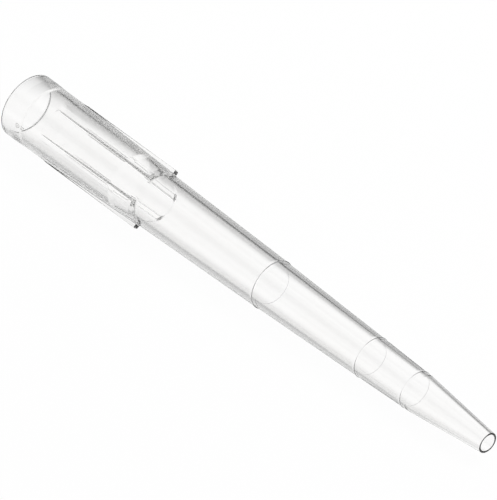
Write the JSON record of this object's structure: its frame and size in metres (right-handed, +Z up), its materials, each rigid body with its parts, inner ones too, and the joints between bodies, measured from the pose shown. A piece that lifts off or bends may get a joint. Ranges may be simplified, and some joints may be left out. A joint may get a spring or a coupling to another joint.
{
  "type": "pipette tip",
  "caption": "Clear moulded pipette tip: a long tapered tube with a wide mouth that seats on a nozzle, a finned collar, graduation rings and a narrow orifice.",
  "frame": {"origin": "bottom centre of the bounding box, on the surface that the tip lies on", "axes": "+X along the tip towards its orifice, which points 1.6 degrees below the level; +Y to the side; +Z up"},
  "size_m": [0.1352, 0.0142, 0.0145],
  "materials": {
    "clear_polypropylene": "gloss"
  },
  "bodies": {
    "root": {"pipette_tip": "clear_polypropylene"}
  },
  "joints": []
}
